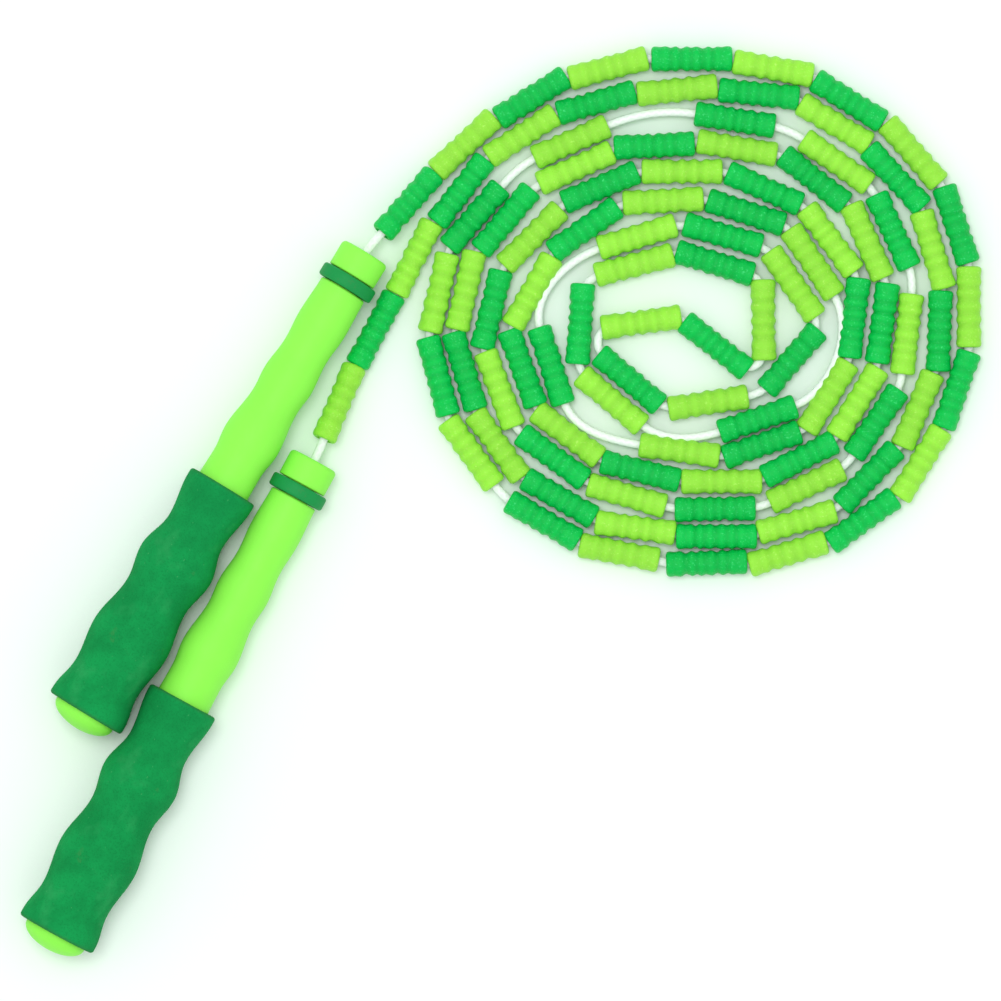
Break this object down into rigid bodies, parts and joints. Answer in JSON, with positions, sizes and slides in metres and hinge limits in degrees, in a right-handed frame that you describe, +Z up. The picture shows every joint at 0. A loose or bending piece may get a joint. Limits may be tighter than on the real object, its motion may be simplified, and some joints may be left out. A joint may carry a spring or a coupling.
{
  "type": "beaded jump rope",
  "caption": "Skipping rope with soft tubular beads in two greens on a white cord, coiled flat beside two wavy handles with foam grips and swivelling cord ends.",
  "frame": {"origin": "on the surface that the rope lies on, under the middle of the box around the two handles", "axes": "+Z up from the surface; +Y along the longer side of the two handles' box, from their domed ends to their noses; +X towards the coil"},
  "size_m": [0.2933, 0.2789, 0.0257],
  "materials": {
    "lime_handle": "moulded lime green plastic, satin gloss",
    "foam": "dark green closed-cell foam, matt and finely pitted",
    "collar": "dark green plastic, soft sheen",
    "lime_bead": "soft ribbed lime green plastic",
    "green_bead": "soft ribbed green plastic",
    "cord": "white braided cord",
    "washer": "zinc-plated steel",
    "coiled_beads": "beads in two greens, side by side"
  },
  "bodies": {
    "rope": {"rope_coil": "coiled_beads", "cord_lead_a": "cord", "cord_lead_b": "cord", "cord_middle": "cord", "cord_knot_a": "cord", "cord_knot_b": "cord", "bead_lead_a1": "green_bead", "bead_lead_b1": "lime_bead", "bead_lead_b2": "green_bead", "bead_middle_left": "lime_bead", "bead_middle_right": "green_bead"},
    "handle_a": {"handle_tube_a": "lime_handle", "foam_grip_a": "foam", "nose_cap_a": "lime_handle", "collar_ring_a": "collar", "cord_washer_a": "washer"},
    "end_cap_a": {"end_cap_a": "lime_handle"},
    "handle_b": {"handle_tube_b": "lime_handle", "foam_grip_b": "foam", "nose_cap_b": "lime_handle", "collar_ring_b": "collar", "cord_washer_b": "washer"},
    "end_cap_b": {"end_cap_b": "lime_handle"}
  },
  "joints": [
    {"name": "handle_a_swivel", "type": "hinge", "parent": "rope", "child": "handle_a", "pos_m": [0.04972, 0.10627, 0.00885], "axis": [0.5193, 0.8541, -0.0274], "continuous": true},
    {"name": "end_cap_a_pull", "type": "slide", "parent": "handle_a", "child": "end_cap_a", "axis": [-0.5193, -0.8541, 0.0274], "range_m": [0, 0.016]},
    {"name": "handle_b_swivel", "type": "hinge", "parent": "rope", "child": "handle_b", "pos_m": [0.0341, 0.0428, 0.00885], "axis": [0.4785, 0.8777, -0.0274], "continuous": true},
    {"name": "end_cap_b_pull", "type": "slide", "parent": "handle_b", "child": "end_cap_b", "axis": [-0.4785, -0.8777, 0.0274], "range_m": [0, 0.016]}
  ]
}
